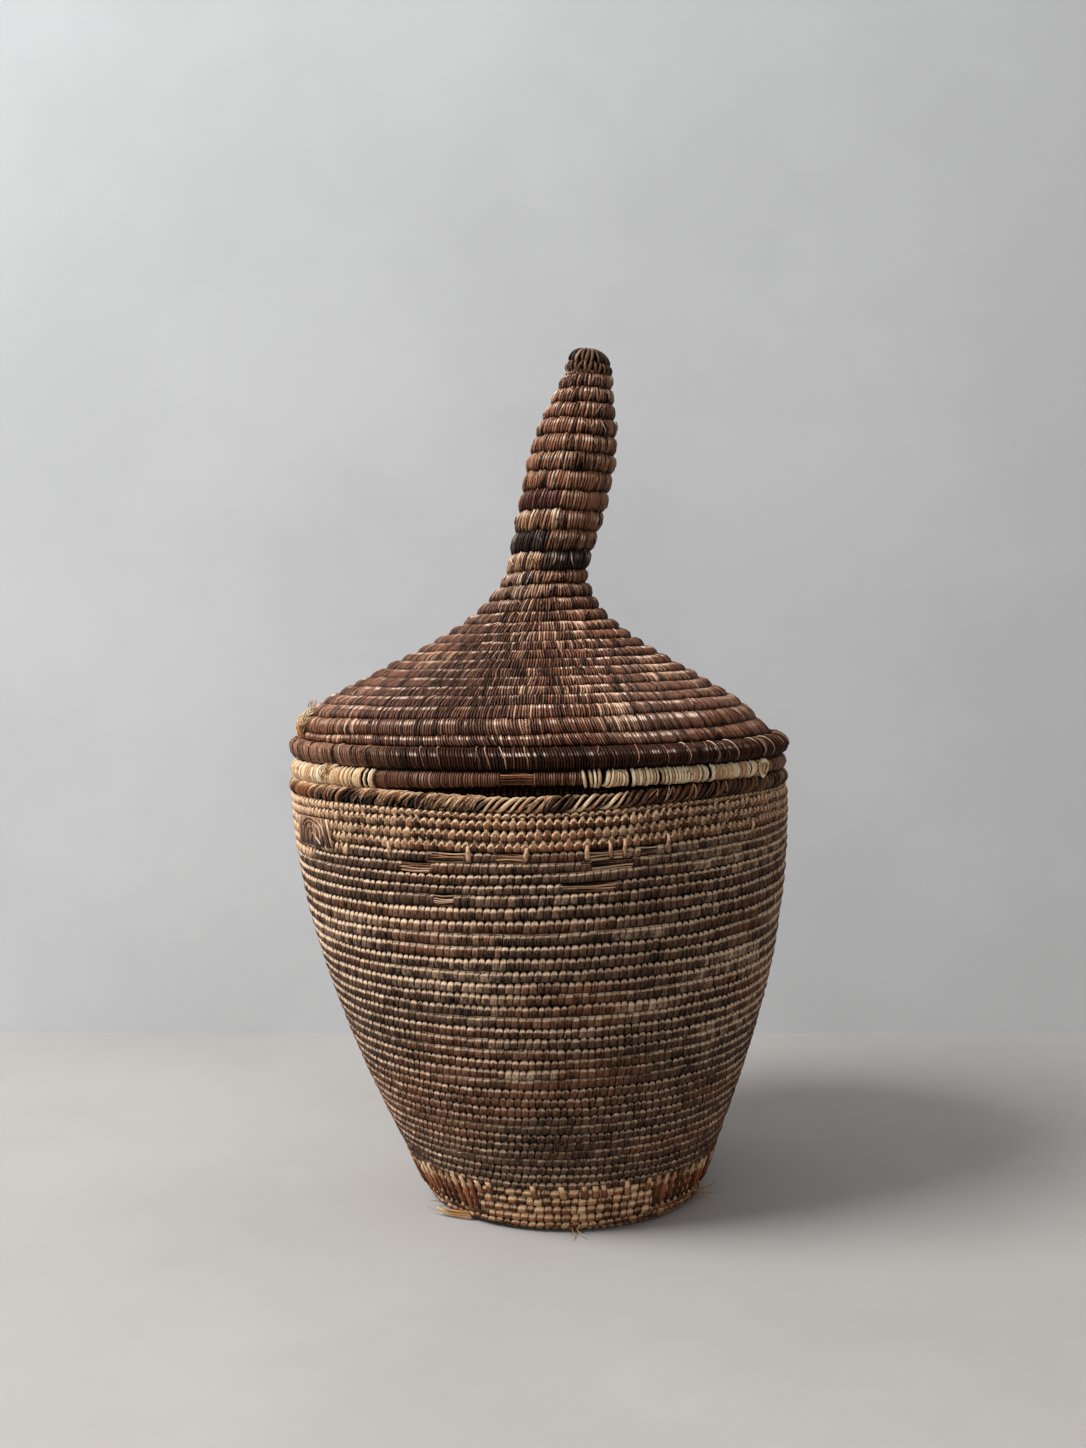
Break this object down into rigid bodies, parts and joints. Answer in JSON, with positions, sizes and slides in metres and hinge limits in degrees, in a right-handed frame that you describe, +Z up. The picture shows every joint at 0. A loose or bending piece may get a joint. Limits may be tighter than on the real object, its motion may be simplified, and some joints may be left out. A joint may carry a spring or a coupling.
{
  "type": "lidded coiled basket",
  "caption": "Coiled fibre basket with a flared round wall, a braided rim and a lift-off conical lid that ends in a tall curved coiled knob.",
  "frame": {"origin": "centre of the flat underside that the basket stands on", "axes": "+Z up the basket to the tip of the knob, -Y to the front, +X to the side the knob leans to"},
  "size_m": [0.2201, 0.22, 0.3751],
  "materials": {
    "base_fibre": "orange tan split fibre, dry and matte, sewn in beads over the coil",
    "wall_fibre": "dark grey brown aged fibre stitches, matte with light worn tops",
    "band_fibre": "tan to brown fibre stitches with pale worn points",
    "brown_fibre": "mid brown fibre wraps with a slight sheen",
    "natural_fibre": "undyed cream straw wraps, loose in places",
    "dark_fibre": "dark reddish brown fine wraps with a slight waxy sheen",
    "bare_grass": "bare grass core where the wraps have worn away",
    "black_fibre": "near black dyed fibre wraps"
  },
  "bodies": {
    "basket": {"base_start_knot": "base_fibre", "base_disc_coils": "base_fibre", "foot_coil": "base_fibre", "base_band_coils": "base_fibre", "base_loose_strip": "base_fibre", "wall_coils_lower": "wall_fibre", "wall_coils_middle": "wall_fibre", "wall_coils_upper": "wall_fibre", "band_coils": "band_fibre", "band_patch": "band_fibre", "rim_coils": "band_fibre", "rim_braid": "band_fibre"},
    "lid": {"lid_collar": "brown_fibre", "edge_coil_cream_left": "natural_fibre", "edge_coil_dark_left": "dark_fibre", "edge_coil_bare_core": "bare_grass", "edge_coil_dark_right": "dark_fibre", "edge_coil_cream_right": "natural_fibre", "edge_coil_brown_back": "brown_fibre", "edge_tail_loop": "natural_fibre", "lid_brim_coil": "dark_fibre", "cone_coils_lower": "dark_fibre", "cone_coils_middle": "dark_fibre", "cone_coils_upper": "dark_fibre", "neck_coils": "brown_fibre", "knob_black_coils": "black_fibre", "knob_coils_lower": "brown_fibre", "knob_coils_middle": "brown_fibre", "knob_coils_upper": "brown_fibre", "knob_tip": "brown_fibre"}
  },
  "joints": [
    {"name": "lid_lift", "type": "slide", "parent": "basket", "child": "lid", "axis": [0, 0, 1], "range_m": [0, 0.1]}
  ]
}
